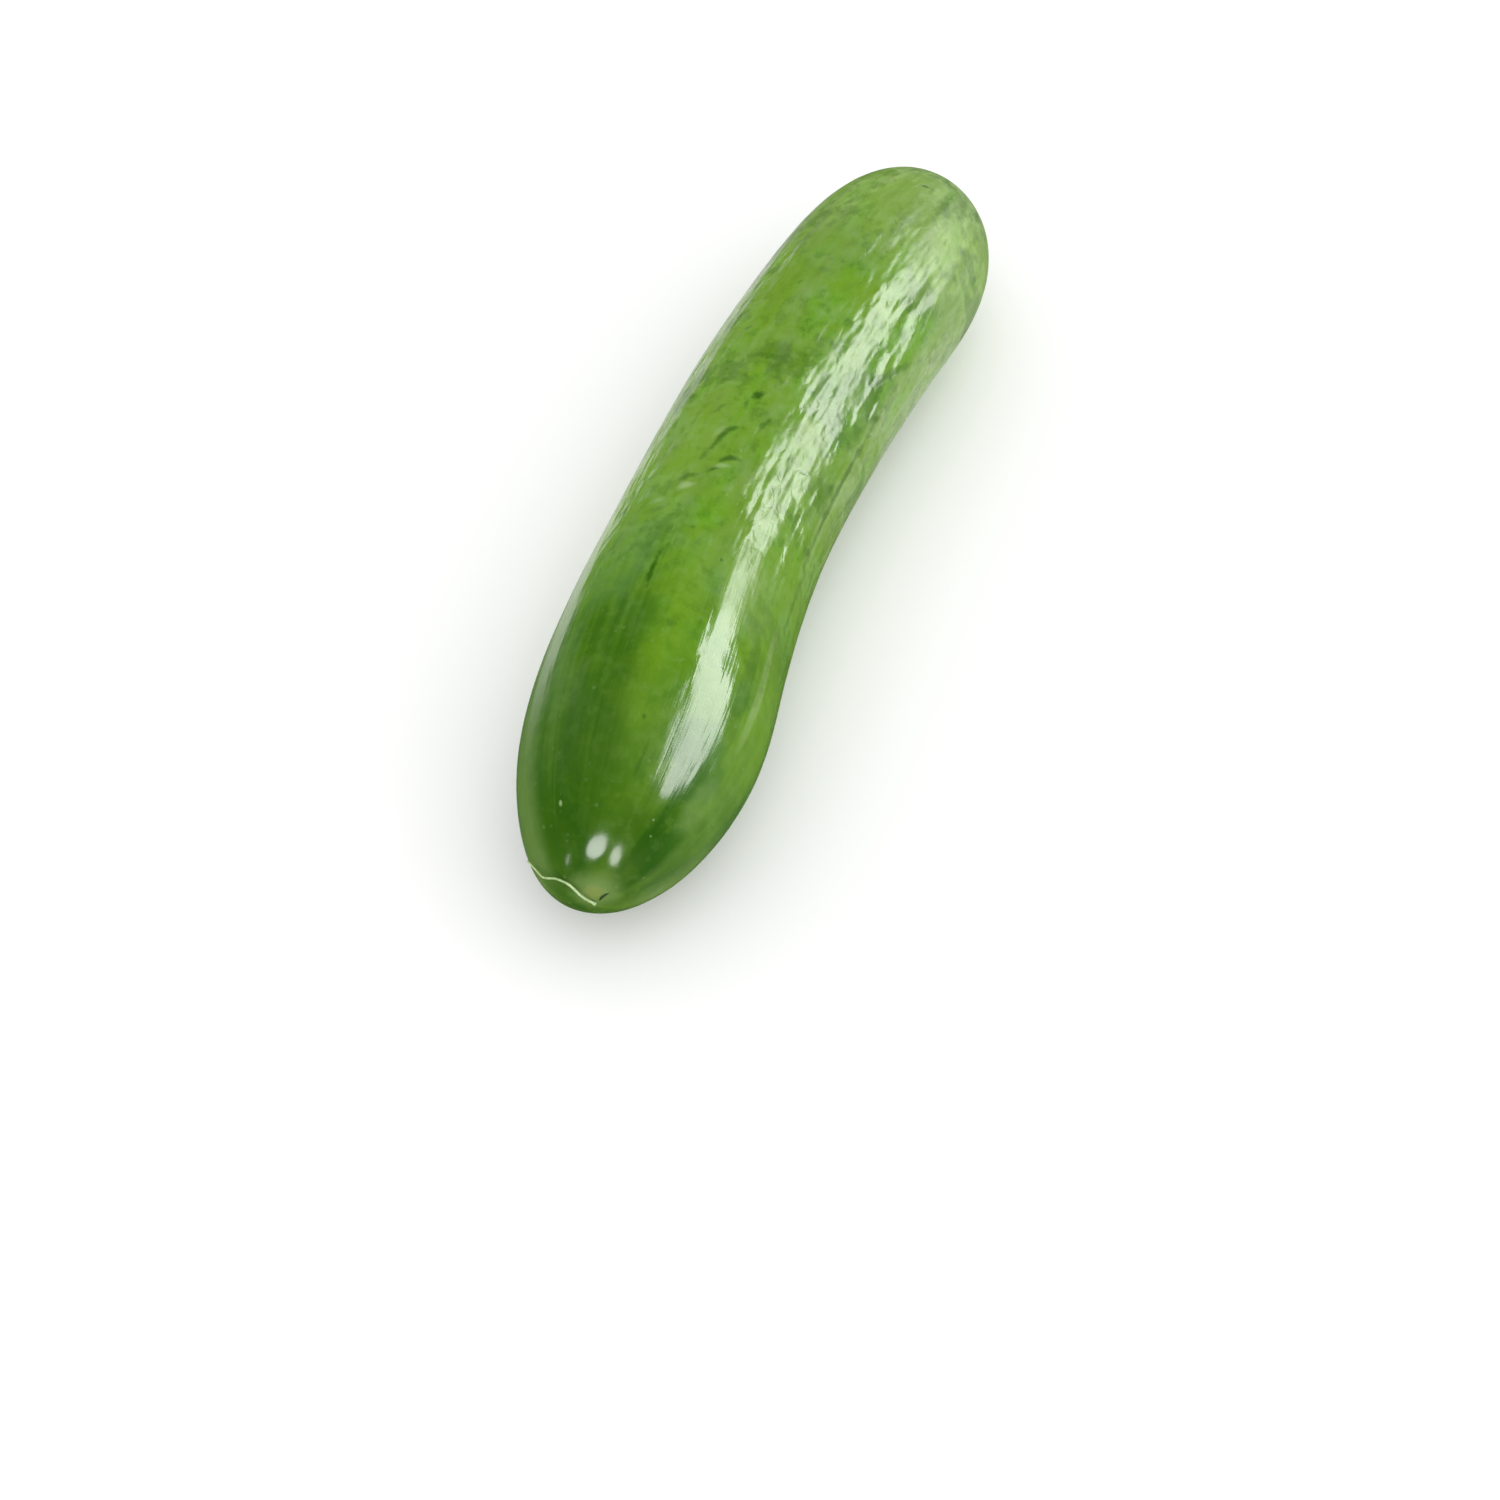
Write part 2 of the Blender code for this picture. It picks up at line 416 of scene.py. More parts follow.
class Wire:
    # a shader socket that takes part in sums, and add() makes any other node
    def __init__(self, tree, socket=None):
        self.tree, self.socket = tree, socket

    def add(self, kind, settings=None, inputs=None, output=0):
        node = self.tree.nodes.new("ShaderNode" + kind)
        for name, value in (settings or {}).items():
            if name == "stops":
                self.setStops(node.color_ramp.elements, value)
            else:
                setattr(node, name, value)
        for key, value in (inputs or {}).items():
            if isinstance(value, Wire):
                self.tree.links.new(value.socket, node.inputs[key])
            else:
                node.inputs[key].default_value = value
        return Wire(self.tree, node.outputs[output])

    def setStops(self, elements, stops):
        while len(elements) < len(stops):
            elements.new(0.5)
        for element, (position, colour) in zip(elements, stops):
            element.position = position
            element.color = (*colour, 1)

    def math(self, operation, first, second=0.0):
        return self.add("Math", {"operation": operation}, {0: first, 1: second})

    def __add__(self, other):
        return self.math("ADD", self, other)

    def __sub__(self, other):
        return self.math("SUBTRACT", self, other)

    def __rsub__(self, other):
        return self.math("SUBTRACT", other, self)

    def __mul__(self, other):
        return self.math("MULTIPLY", self, other)

    __radd__, __rmul__ = __add__, __mul__

    def __pow__(self, other):
        return self.math("POWER", self, other)

    def most(self, other):
        return self.math("MAXIMUM", self, other)

    def fade(self, low, high):
        # 0 up to low and 1 from high on, or the other way round where high is the smaller
        limits = {"Value": self, "From Min": low, "From Max": high}
        return self.add("MapRange", {"interpolation_type": "SMOOTHSTEP"}, limits)

    def mixed(self, first, second):
        # this wire's value says how much of the second colour there is
        colours = [(*c, 1) if isinstance(c, tuple) else c for c in (first, second)]
        return self.add("Mix", {"data_type": "RGBA"}, {0: self, 6: colours[0], 7: colours[1]}, 2)

    def noise(self, scale, detail, roughness):
        inputs = {"Vector": self, "Scale": scale, "Detail": detail, "Roughness": roughness}
        return self.add("TexNoise", None, inputs)


def newMaterial(name, fixed):
    made = bpy.data.materials.new(name)
    made.use_nodes = True
    tree = made.node_tree
    surface = tree.nodes["Principled BSDF"]
    for socket, value in fixed.items():
        surface.inputs[socket].default_value = value
    return made, Wire(tree), surface


def feed(surface, socket, wire):
    surface.id_data.links.new(wire.socket, surface.inputs[socket])


def bumpFrom(height, strength, distance):
    return height.add("Bump", None, {"Strength": strength, "Distance": distance, "Height": height})


def dress(piece, made):
    piece.data.materials.clear()
    piece.data.materials.append(made)


# the skin's fixed values, where nothing changes from place to place
skinSurface = {
    "Metallic": 0.0,
    "IOR": 1.45,
    "Subsurface Weight": 0.10,
    "Subsurface Radius": (0.6, 1.0, 0.25),
    "Subsurface Scale": 1.5 * mm,
    "Coat Weight": 0.0,
}

skinColours = {
    # colour along the length, darker towards the blossom end and paler towards the stem end; the dark
    # blossom end is partly the skin's own darker green and partly painted shade
    "byLength": (
        (0.00, (0.050, 0.120, 0.010)),
        (0.04, (0.020, 0.086, 0.003)),
        (0.14, (0.054, 0.165, 0.008)),
        (0.25, (0.105, 0.255, 0.018)),
        (0.38, (0.145, 0.315, 0.024)),
        (0.55, (0.142, 0.302, 0.024)),
        (0.78, (0.128, 0.290, 0.015)),
        (0.88, (0.275, 0.465, 0.080)),
        (0.95, (0.300, 0.480, 0.125)),
        (1.00, (0.290, 0.430, 0.130)),
    ),
    "brightPatch": (0.130, 0.345, 0.008),
    "dullPatch": (0.190, 0.300, 0.085),
    "yellowPatch": (0.150, 0.295, 0.010),
    "bluePatch": (0.085, 0.215, 0.048),
    "slatePatch": (0.098, 0.225, 0.052),
    "paleSide": (0.210, 0.370, 0.065),
    # painted reflection of the pale surroundings, laid along the outlines
    "paleEdge": (0.310, 0.445, 0.160),
    "paleStreak": (0.210, 0.360, 0.085),
    "deepStreak": (0.026, 0.094, 0.003),
    "bloom": (0.260, 0.370, 0.190),
    "markDark": (0.034, 0.115, 0.005),
    "markPale": (0.330, 0.470, 0.200),
    "tipScar": (0.165, 0.270, 0.070),
    "tipMiddle": (0.260, 0.300, 0.045),
    "hook": (0.016, 0.036, 0.004),
    "stemScar": (0.420, 0.370, 0.190),
    "stemRing": (0.200, 0.260, 0.080),
    "bundle": (0.120, 0.130, 0.040),
}

# Every pattern runs around a middle of 0.5, and fade() picks the part of it that a layer covers. Places
# along the fruit are shares of its length, from 0 at the blossom end to 1 at the stem end.

# patterns that follow the skin: how fine they are lengthwise and around, offset, detail and roughness
drawnPatterns = {
    "waver": (4, 1.6, 3, 2, 0.5),
    "patch": (5, 1.7, 8, 3, 0.55),
    "blue": (6, 1.9, 21, 3, 0.55),
    "fine": (3.0, 9.5, 0, 3, 0.6),
    "broad": (2.2, 4.2, 5, 2, 0.5),
    "blotch": (13, 4.6, 40, 3, 0.6),
    "wax": (3.4, 1.5, 30, 3, 0.6),
    "rays": (0, 9.0, 2, 2, 0.5),
    "crinkle": (44, 7.0, 1, 1.5, 0.5),
    "shallow": (17, 4.6, 4, 2, 0.45),
    "rib": (3.5, 5.5, 13, 1, 0.5),
}

# patterns that are as fine every way: scale, detail and roughness
evenPatterns = {
    "speck": (420, 3, 0.6),
    "mottle": (95, 4, 0.62),
    "rubbed": (260, 2, 0.5),
    "poreShare": (310, 0, 0.5),
    "gloss": (170, 2, 0.6),
    "corkGrain": (900, 3, 0.7),
    "corkLump": (700, 3, 0.6),
    "grit": (1400, 2, 0.5),
}

# patterns of round cells: scale and randomness
cellPatterns = {
    "pores": (520, 1.0),
    "bundles": (950, 0.7),
}


class Skin:
    # the colour as it builds up, and the places and patterns that more than one layer follows
    def __init__(self, start):
        self.start = start
        self.place = start.add("TexCoord", None, None, 3)
        grain = start.add("Attribute", {"attribute_name": "grain"}, None, 1)
        self.share = start.add("SeparateXYZ", None, {0: grain}, 0)
        self.sideways = start.add("SeparateXYZ", None, {0: grain}, 1)
        self.upwards = start.add("SeparateXYZ", None, {0: grain}, 2)
        self.beyondTip = self.share.fade(0.03, 0.28)
        self.stemward = self.share.fade(0.30, 0.46)
        self.waver = self.drawn("waver") - 0.5
        self.waveringShare = self.share + self.waver * 0.10
        self.patch = self.drawn("patch")
        self.fine = self.drawn("fine")
        self.stripes = self.fine * 0.55 + self.drawn("broad") * 0.45
        self.stripedShare = self.share + (self.stripes - 0.5) * 0.24 + (self.patch - 0.5) * 0.14
        self.speck = self.even("speck")
        self.mottle = self.even("mottle")
        self.colour = start.add("ValToRGB", {"stops": skinColours["byLength"]}, {0: self.waveringShare})

    def drawn(self, name):
        # drawn out lengthwise, and closed up at both tips
        lengthwise, around, offset, detail, roughness = drawnPatterns[name]
        ahead = self.share * lengthwise + offset
        spot = {0: ahead, 1: self.sideways * around, 2: self.upwards * around}
        return self.start.add("CombineXYZ", None, spot).noise(1.0, detail, roughness)

    def even(self, name):
        return self.place.noise(*evenPatterns[name])

    def cells(self, name):
        scale, randomness = cellPatterns[name]
        inputs = {"Vector": self.place, "Scale": scale, "Randomness": randomness}
        return self.start.add("TexVoronoi", None, inputs)

    def distanceFrom(self, lengthwise, around):
        middle = tuple(skinPoint(lengthwise, around))
        return self.start.add("VectorMath", {"operation": "DISTANCE"}, {0: self.place, 1: middle}, 1)

    def stretch(self, begins, ends):
        # one stretch of the length, which comes in and goes again
        return self.share.fade(*begins) * self.share.fade(*ends)

    def tint(self, amount, colourName):
        # one more colour goes over the others, as much of it as the amount says
        self.colour = amount.mixed(self.colour, skinColours[colourName])


def addBroadPatches(skin):
    # a yellower and a bluer green, most of all past the blossom tip
    skin.tint(skin.patch.fade(0.47, 0.62) * (0.20 + skin.beyondTip * 0.35), "yellowPatch")
    skin.tint(skin.drawn("blue").fade(0.50, 0.66) * skin.beyondTip * 0.40, "bluePatch")


def addStreaks(skin):
    # lengthwise, and strongest towards the blossom end
    strength = (0.30 + skin.share.fade(0.55, 0.08) * 0.70) * skin.share.fade(0.01, 0.10)
    skin.tint(skin.stripes.fade(0.53, 0.68) * strength * 0.22, "paleStreak")
    skin.tint(skin.stripes.fade(0.47, 0.34) * strength * 0.42, "deepStreak")


sides = {
    "dark": 0.54,  # how strong each side's colour is
    "darkStripes": 0.26,
    "pale": 0.58,
    # the edge and rim strengths below are for painted reflections along the outlines and under the tip
    "rightEdgeReflection": (0.10, 0.68),  # all along, and how much more on the stem half
    "leftEdgeReflection": (0.26, 0.36),
    "tipRimReflection": 0.34,
}


def addSides(skin):
    # one side is dark behind the blossom end, and both sides are pale along the stem half; the pale strips
    # along both outlines and under the blossom tip are painted reflections of the pale surroundings
    behindTip = skin.stripedShare.fade(0.38, 0.22)
    skin.darkSide = (skin.sideways + skin.waver * 0.8).fade(-0.16, 0.22) * behindTip
    strength = sides["dark"] + skin.stripes.fade(0.64, 0.40) * sides["darkStripes"]
    skin.tint(skin.darkSide * strength, "deepStreak")
    paleSide = (skin.sideways + skin.waver * 0.9).fade(0.0, 0.6) * skin.stripedShare.fade(0.30, 0.44)
    skin.tint(paleSide * sides["pale"], "paleSide")
    stemPart = skin.stripedShare.fade(0.36, 0.54)
    allAlong, more = sides["rightEdgeReflection"]
    rightEdgeReflection = skin.sideways.fade(-0.88, -0.95) * (allAlong + stemPart * more)
    allAlong, more = sides["leftEdgeReflection"]
    leftEdgeReflection = skin.sideways.fade(0.70, 0.93) * (allAlong + stemPart * more)
    tipRimReflection = skin.upwards.fade(0.20, -0.40) * skin.share.fade(0.13, 0.05) * sides["tipRimReflection"]
    # painted reflections along both outlines and under the blossom tip
    skin.tint((rightEdgeReflection + leftEdgeReflection + tipRimReflection) * skin.stretch((0.0, 0.03), (0.90, 0.80)), "paleEdge")


# patches of another green: place along, angle round (90 is up), half length, half width, how far each is
# turned from lengthwise, how much it curls, how strong it is, and its colour
patches = (
    (58 * mm, 54, 14 * mm, 7.5 * mm, -3, 0, 0.55, "slatePatch"),
    (121 * mm, 147, 13 * mm, 3.6 * mm, 12, 0, 0.55, "brightPatch"),
    (117 * mm, 95, 8 * mm, 3.8 * mm, 0, 0, 0.50, "brightPatch"),
    (68 * mm, 96, 9 * mm, 3.4 * mm, 0, 0, 0.40, "brightPatch"),
    # the next three paint light and shade on the right flank of the blossom half: a darker stripe of
    # painted shade where the skin mirrors its dark surroundings, and two strips of painted reflection of
    # the pale floor
    (36 * mm, 143, 15 * mm, 2.0 * mm, 0, 0, 0.32, "deepStreak"),
    (38 * mm, 154, 18 * mm, 1.4 * mm, 0, 0, 0.50, "paleEdge"),
    (15 * mm, 150, 6 * mm, 3.0 * mm, 0, 0, 0.18, "paleEdge"),
)

# small marks: the same first six values, and how dark each is (below 0 is pale)
marks = (
    (51.5 * mm, 78.5, 5.4 * mm, 0.75 * mm, -3, 0.3, 1.00),
    (41.3 * mm, 97, 1.20 * mm, 1.00 * mm, 0, 0, 0.45),
    (57.5 * mm, 109, 0.50 * mm, 0.40 * mm, 0, 0, 0.60),
    (23.6 * mm, 98.5, 0.60 * mm, 0.45 * mm, 0, 0, 0.60),
    (16.9 * mm, 103.8, 3.20 * mm, 0.32 * mm, 4, 0, 0.50),
    (92.1 * mm, 89.2, 2.10 * mm, 1.00 * mm, 48, 0.3, 0.95),
    (89.6 * mm, 86, 1.40 * mm, 0.70 * mm, -20, 0.3, 0.50),
    (81.5 * mm, 81.5, 3.20 * mm, 0.85 * mm, 20, 0.4, 0.78),
    (84.0 * mm, 85.5, 2.00 * mm, 0.75 * mm, 50, 0.3, 0.62),
    (77.9 * mm, 91.5, 2.40 * mm, 0.75 * mm, 58, 0.6, 0.82),
    (75.0 * mm, 86.5, 1.70 * mm, 0.70 * mm, 40, 0.3, 0.74),
    (77.5 * mm, 78.0, 1.80 * mm, 0.80 * mm, 10, 0.3, 0.45),
    (72.8 * mm, 76, 1.80 * mm, 0.65 * mm, 66, 0.3, 0.50),
    (86.5 * mm, 99.5, 2.60 * mm, 0.60 * mm, 12, 0.2, 0.40),
    (88.2 * mm, 74, 1.80 * mm, 0.70 * mm, 30, 0.2, 0.40),
    # the next three long dark marks are painted shade along the crease of the right flank, between the
    # highlight and the pale reflection
    (86.0 * mm, 159, 24.0 * mm, 0.80 * mm, 0, 0, 0.55),
    (112.5 * mm, 148, 9.5 * mm, 1.00 * mm, 25, 0.1, 0.55),
    (60.0 * mm, 161, 10.0 * mm, 0.70 * mm, 0, 0, 0.40),
    (82.9 * mm, 129.5, 1.40 * mm, 0.45 * mm, 60, 0.6, 0.60),
    (70.6 * mm, 76.5, 1.70 * mm, 1.00 * mm, 60, 0.2, -0.62),
    (76.1 * mm, 89.5, 1.90 * mm, 0.80 * mm, 60, 0.3, -0.55),
    (82.6 * mm, 79, 2.40 * mm, 0.80 * mm, 20, 0.3, -0.30),
    (67.0 * mm, 64, 1.90 * mm, 0.90 * mm, 72, 0.3, -0.35),
    (149.6 * mm, 96, 1.90 * mm, 0.48 * mm, 62, 0.6, 0.85),
    (62.0 * mm, 90, 0.60 * mm, 0.50 * mm, 30, 0, 0.40),
    (100.5 * mm, 84, 1.10 * mm, 0.50 * mm, 30, 0.3, 0.45),
    (106.5 * mm, 60, 1.60 * mm, 0.60 * mm, 50, 0.3, 0.40),
    (118.0 * mm, 74, 0.90 * mm, 0.50 * mm, 20, 0.3, 0.40),
    (10.2 * mm, 60, 0.60 * mm, 0.35 * mm, 0, 0, -0.65),
    (9.7 * mm, 126, 0.30 * mm, 0.28 * mm, 0, 0, -0.4),
    (7.7 * mm, 131, 0.30 * mm, 0.28 * mm, 0, 0, -0.4),
    (64.0 * mm, 205, 2.00 * mm, 0.50 * mm, 30, 0.5, 0.6),
    (101.0 * mm, 300, 2.40 * mm, 0.45 * mm, 10, 0.4, 0.6),
    (35.0 * mm, 340, 0.70 * mm, 0.60 * mm, 0, 0, 0.6),
    (132.0 * mm, 215, 1.80 * mm, 0.60 * mm, 60, 0.4, -0.4),
)

markDepth = 2.5 * mm  # how far below the skin a mark still shows
aheadStep = 0.3 * mm  # to a second point of the skin, for its direction lengthwise
aroundStep = 3  # degrees to a third one, for its direction around


def markShape(place, lengthwise, around, halfLength, halfWidth, turned, curl):
    # 0 in the middle of the mark and 1 at its edge
    centre = skinPoint(lengthwise, around)
    ahead = (skinPoint(lengthwise + aheadStep, around) - centre).normalized()
    out = ahead.cross(skinPoint(lengthwise, around + aroundStep) - centre).normalized()
    turn = math.radians(turned)
    long = ahead * math.cos(turn) + out.cross(ahead) * math.sin(turn)
    offset = place.add("VectorMath", {"operation": "SUBTRACT"}, {0: place, 1: tuple(centre)})

    def part(way, reach):
        inputs = {0: offset, 1: tuple(way / reach)}
        return place.add("VectorMath", {"operation": "DOT_PRODUCT"}, inputs, 1)

    u = part(long, halfLength)
    v = part(out.cross(long), halfWidth) - u * u * (curl * halfLength / halfWidth / 2)
    w = part(out, markDepth)
    return (u * u + v * v + w * w) ** 0.5


def addPatches(skin):
    for *shape, strength, name in patches:
        here = markShape(skin.place, *shape) + (skin.patch - 0.5) * 1.2
        skin.tint(here.fade(1.15, 0.60) * strength, name)


# layers of mottling: the pattern, the values between which it comes in, how strong it is, where it shows,
# and its colour
mottling = (
    ("blotch", 0.53, 0.60, 0.34, "stemHalf", "brightPatch"),
    ("blotch", 0.46, 0.38, 0.30, "stemHalf", "dullPatch"),
    ("speck", 0.50, 0.62, 0.24, "speckled", "paleStreak"),
    ("speck", 0.48, 0.37, 0.22, "speckled", "deepStreak"),
    ("mottle", 0.49, 0.58, 0.42, "mottled", "yellowPatch"),
    ("mottle", 0.48, 0.38, 0.30, "mottled", "deepStreak"),
)


def addMottling(skin):
    patterns = {"blotch": skin.drawn("blotch"), "speck": skin.speck, "mottle": skin.mottle}
    # both fine patterns are faint on the dark side
    where = {
        "stemHalf": skin.stemward,
        "speckled": (0.35 + skin.beyondTip * 0.40 + skin.stemward * 0.50) * (1 - skin.darkSide * 0.55),
        "mottled": (0.30 + skin.beyondTip * 0.50 + skin.stemward * 0.45) * (1 - skin.darkSide * 0.60),
    }
    for pattern, low, high, strength, area, name in mottling:
        skin.tint(patterns[pattern].fade(low, high) * where[area] * strength, name)


def addBloomAndPores(skin):
    # waxy bloom that has been rubbed off in places, and pale pores
    wax = (skin.drawn("wax") + skin.even("rubbed") * 0.22).fade(0.58, 0.84)
    skin.bloom = wax * skin.beyondTip
    skin.tint(skin.bloom * 0.20, "bloom")
    skin.pores = skin.cells("pores").fade(0.22, 0.10) * skin.even("poreShare").fade(0.52, 0.66)
    skin.tint(skin.pores * 0.16, "bloom")


def addMarks(skin):
    # the specks make their edges uneven
    found = {"markDark": None, "markPale": None}
    for *shape, darkness in marks:
        here = markShape(skin.place, *shape) + (skin.speck - 0.5) * 1.9
        here = here.fade(1.05, 0.25) * abs(darkness)
        name = "markDark" if darkness > 0 else "markPale"
        found[name] = here if found[name] is None else found[name].most(here)
    for name, amount in found.items():
        skin.tint(amount, name)
    skin.dark = found["markDark"]


# the blossom scar, with the dark hook beside it: radii where each colour begins and where it is full
tipScar = {
    "middle": (0.4 * mm, 112),  # place along and angle round
    "unevenness": 3.0 * mm,
    "patch": (5.6 * mm, 1.6 * mm),
    "patchStrength": 0.75,
    "heart": (2.4 * mm, 0.8 * mm),
    "heartStrength": 0.45,
    "matt": (2.8 * mm, 1.2 * mm),
    "hook": (0.36 * mm, 143, 1.50 * mm, 0.34 * mm, -12, 0.5),  # a mark's first six values
    "hookStrength": 0.9,
}


def addTipScar(skin):
    fromTip = skin.distanceFrom(*tipScar["middle"]) + (skin.speck - 0.5) * tipScar["unevenness"]
    skin.tint(fromTip.fade(*tipScar["patch"]) * tipScar["patchStrength"], "tipScar")
    skin.tint(fromTip.fade(*tipScar["heart"]) * tipScar["heartStrength"], "tipMiddle")
    skin.mattTip = fromTip.fade(*tipScar["matt"])
    skin.hook = markShape(skin.place, *tipScar["hook"]).fade(1.0, 0.5)
    skin.tint(skin.hook * tipScar["hookStrength"], "hook")


# the corky stem scar, its dark ring and bundles, and the rays around it
stemScar = {
    "middle": (fruit["length"] - 0.05 * mm, 90),
    "rayReach": 3.4 * mm,
    "rays": (8.5 * mm, 5.0 * mm),
    "raysStrength": 0.75,
    "raysRelief": (9 * mm, 4 * mm),
    "unevenness": 0.9 * mm,
    "cork": (5.0 * mm, 4.2 * mm),
    "corkStrength": 0.92,
    "grainStrength": 0.5,
    "bundles": (2.6 * mm, 1.9 * mm),
    "bundlesStrength": 0.45,
    "ringInside": (4.4 * mm, 4.9 * mm),
    "ringOutside": (6.0 * mm, 5.0 * mm),
    "ringStrength": 0.5,
}


def addStemScar(skin):
    fromStem = skin.distanceFrom(*stemScar["middle"])
    skin.rays = skin.drawn("rays")
    skin.fromRays = fromStem + (skin.rays - 0.5) * stemScar["rayReach"]
    skin.tint(skin.fromRays.fade(*stemScar["rays"]) * stemScar["raysStrength"], "stemRing")
    skin.cork = (fromStem + (skin.speck - 0.5) * stemScar["unevenness"]).fade(*stemScar["cork"])
    skin.tint(skin.cork * stemScar["corkStrength"], "stemScar")
    skin.tint(skin.even("corkGrain").fade(0.62, 0.40) * skin.cork * stemScar["grainStrength"], "stemRing")
    bundles = skin.cells("bundles").fade(0.42, 0.22) * fromStem.fade(*stemScar["bundles"])
    skin.tint(bundles * stemScar["bundlesStrength"], "bundle")
    ring = fromStem.fade(*stemScar["ringInside"]) * fromStem.fade(*stemScar["ringOutside"])
    skin.tint(ring * stemScar["ringStrength"], "bundle")


# how much rougher than the smoothest skin each part is
gloss = {
    "smoothest": 0.125,
    "stemHalf": 0.16,
    "tip": 0.02,
    "behindTip": 0.09,
    "betweenHalves": 0.16,
    "stemEnd": 0.30,
    "mottle": 0.08,
    "bloom": 0.08,
    "unevenness": (0.12, 0.28),  # all over, and how much more on the stem half
    "mattTip": 0.25,
    "cork": 0.40,
}


def skinRoughness(skin):
    # glossy on the smooth half, and duller between it and the crinkled one
    share = skin.share
    roughness = gloss["smoothest"] + share.fade(0.33, 0.50) * gloss["stemHalf"]
    roughness = roughness + share.fade(0.09, 0.03) * gloss["tip"]
    roughness = roughness + skin.stretch((0.07, 0.11), (0.22, 0.15)) * gloss["behindTip"]
    between = skin.waveringShare.fade(0.26, 0.33) * skin.waveringShare.fade(0.43, 0.37)
    roughness = roughness + between * skin.sideways.fade(0.1, -0.2) * gloss["betweenHalves"]
    roughness = roughness + share.fade(0.76, 0.90) * gloss["stemEnd"]
    roughness = roughness + (skin.mottle - 0.5) * gloss["mottle"] + skin.bloom * gloss["bloom"]
    allOver, more = gloss["unevenness"]
    roughness = roughness + (skin.even("gloss") - 0.5) * (allOver + skin.stemward * more)
    return roughness + skin.mattTip * gloss["mattTip"] + skin.cork * gloss["cork"]


# heights of the bumps in millimetres
relief = {
    "crinkle": 0.11,
    "shallow": 1.05,
    "crease": 0.016,
    "rib": 0.55,
    "streak": 0.12,
    "shoulder": 0.50,
    "grit": 0.0035,
    "pore": 0.004,
    "mark": (0.01, 0.09),  # all over, and how much deeper on the stem half
    "hook": 0.12,
    "cork": 0.22,
    "rays": 0.18,
}
shoulder = {"angle": math.radians(121), "begins": 0.94, "power": 1.5}


def skinRelief(skin):
    # crinkles with thin creases across the stem half, fainter ones elsewhere
    share = skin.share
    crinkle = skin.drawn("crinkle")
    crease = skin.start.math("ABSOLUTE", crinkle - 0.5).fade(0.07, 0.0)
    height = crinkle * relief["crinkle"] - crease * relief["crease"]
    height = height + skin.drawn("shallow") * relief["shallow"]
    height = height * (0.25 + share.fade(0.30, 0.44) * 0.75)
    height = height + skin.drawn("rib") * share.fade(0.32, 0.48) * relief["rib"]
    height = height + skin.fine * share.fade(0.8, 0.3) * relief["streak"]
    # a low shoulder runs along the lit side between the two halves
    facing = skin.sideways * math.cos(shoulder["angle"]) + skin.upwards * math.sin(shoulder["angle"])
    crest = ((facing - shoulder["begins"]) * (1 / (1 - shoulder["begins"]))).most(0) ** shoulder["power"]
    height = height + crest * skin.stretch((0.24, 0.31), (0.43, 0.36)) * relief["shoulder"]
    height = height * skin.stretch((0.03, 0.13), (1.0, 0.93))
    # small things, which stay as they are up to both tips
    allOver, more = relief["mark"]
    height = height + skin.even("grit") * relief["grit"] + skin.pores * skin.stemward * relief["pore"]
    height = height - skin.dark * (allOver + skin.stemward * more) - skin.hook * relief["hook"]
    height = height + skin.cork * skin.even("corkLump") * relief["cork"]
    return height + skin.rays * skin.fromRays.fade(*stemScar["raysRelief"]) * relief["rays"]


def skinMaterial():
    made, start, surface = newMaterial("cucumberSkin", skinSurface)
    skin = Skin(start)
    addBroadPatches(skin)
    addStreaks(skin)
    addSides(skin)
    addPatches(skin)
    addMottling(skin)
    addBloomAndPores(skin)
    addMarks(skin)
    addTipScar(skin)
    addStemScar(skin)
    feed(surface, "Base Color", skin.colour)
    feed(surface, "Roughness", skinRoughness(skin))
    feed(surface, "Normal", bumpFrom(skinRelief(skin), 1.0, 1.0 * mm))
    return made


straw = {
    "surface": {"Metallic": 0.0, "Subsurface Weight": 0.0},
    "fibres": (1500, 3, 0.6),  # scale, detail and roughness of each pattern
    "stains": (350, 2, 0.5),
    "dark": (0.30, 0.44, 0.17),
    "pale": (0.58, 0.72, 0.38),
    "stain": (0.38, 0.42, 0.17),
    "stainStrength": 0.4,
    "roughness": (0.5, 0.25),  # the least, and how much the fibres add
}


def strawMaterial():
    made, start, surface = newMaterial("driedFibre", straw["surface"])
    place = start.add("TexCoord", None, None, 3)
    fibres = place.noise(*straw["fibres"])
    colour = fibres.fade(0.35, 0.7).mixed(straw["dark"], straw["pale"])
    stains = place.noise(*straw["stains"]).fade(0.58, 0.72)
    colour = (stains * straw["stainStrength"]).mixed(colour, straw["stain"])
    least, more = straw["roughness"]
    feed(surface, "Base Color", colour)
    feed(surface, "Roughness", least + fibres * more)
    feed(surface, "Normal", bumpFrom(fibres, 0.8, 0.05 * mm))
    return made


# the floor, the light and the camera

studio = {
    "floorSize": 6.0,
    "floorColour": (0.92, 0.92, 0.92),
    "floorSurface": {"Roughness": 0.85, "Specular IOR Level": 0.2},
    "ambient": 1.10,
    # azimuth and elevation of each light as the fruit sees it, its distance, width, height and brightness
    "lights": {
        "sideSoftbox": (20, 30, 0.70, 1.02, 0.46, 10.0),
        "frontPaneLeft": (-80, 21, 0.60, 0.23, 0.19, 10.5),
        "frontPaneRight": (-58, 9, 0.60, 0.10, 0.18, 9.5),
        "frontSliver": (-111, 3, 0.60, 0.03, 0.13, 7.5),
    },
    "fill": (-40, 60, 1.0, 1.2, 1.2, 0.40),
}

# the skin mirrors the floor only in a strip beside the stem half, as if darker things stood around it
mirroredStrip = {
    "begins": (-10 * mm, 35 * mm),  # along X
    "beginSlant": 0.8,  # how much that shifts with Y
    "ends": (104 * mm, 82 * mm),
    "endSlant": -0.3,
    "edge": (84 * mm, 66 * mm),  # how far it reaches to both sides
    "darkAround": (0.07, 0.15, 0.03),
}


